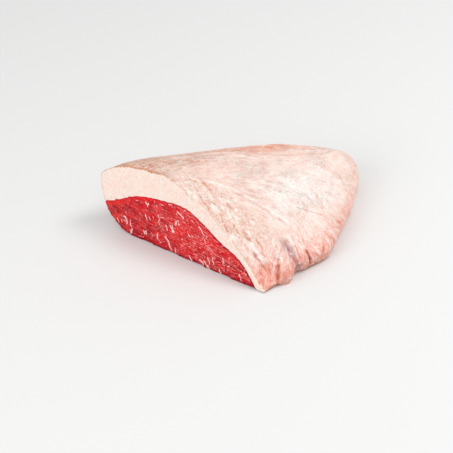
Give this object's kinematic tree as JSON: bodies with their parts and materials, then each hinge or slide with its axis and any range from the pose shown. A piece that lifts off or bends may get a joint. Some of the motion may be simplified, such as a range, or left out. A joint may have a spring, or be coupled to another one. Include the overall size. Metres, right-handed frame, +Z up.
{
  "type": "raw picanha",
  "caption": "Raw rump cap of beef lying fat side up: a thick cap of fat over red lean, cut straight across its thick end.",
  "frame": {"origin": "on the table, below the middle of the piece's box", "axes": "+X along the cut face from its thick left end to its thin right end, +Y from the cut to the tip, +Z up"},
  "size_m": [0.201, 0.1676, 0.0643],
  "materials": {
    "lean": "moist raw red beef, finely grained, with short cream flecks of marbling on the cut",
    "fat": "moist cream fat, pink towards the edges, wrinkled and veined outside and smooth where cut"
  },
  "bodies": {
    "root": {"lean": "lean", "fat_cap": "fat"}
  },
  "joints": []
}
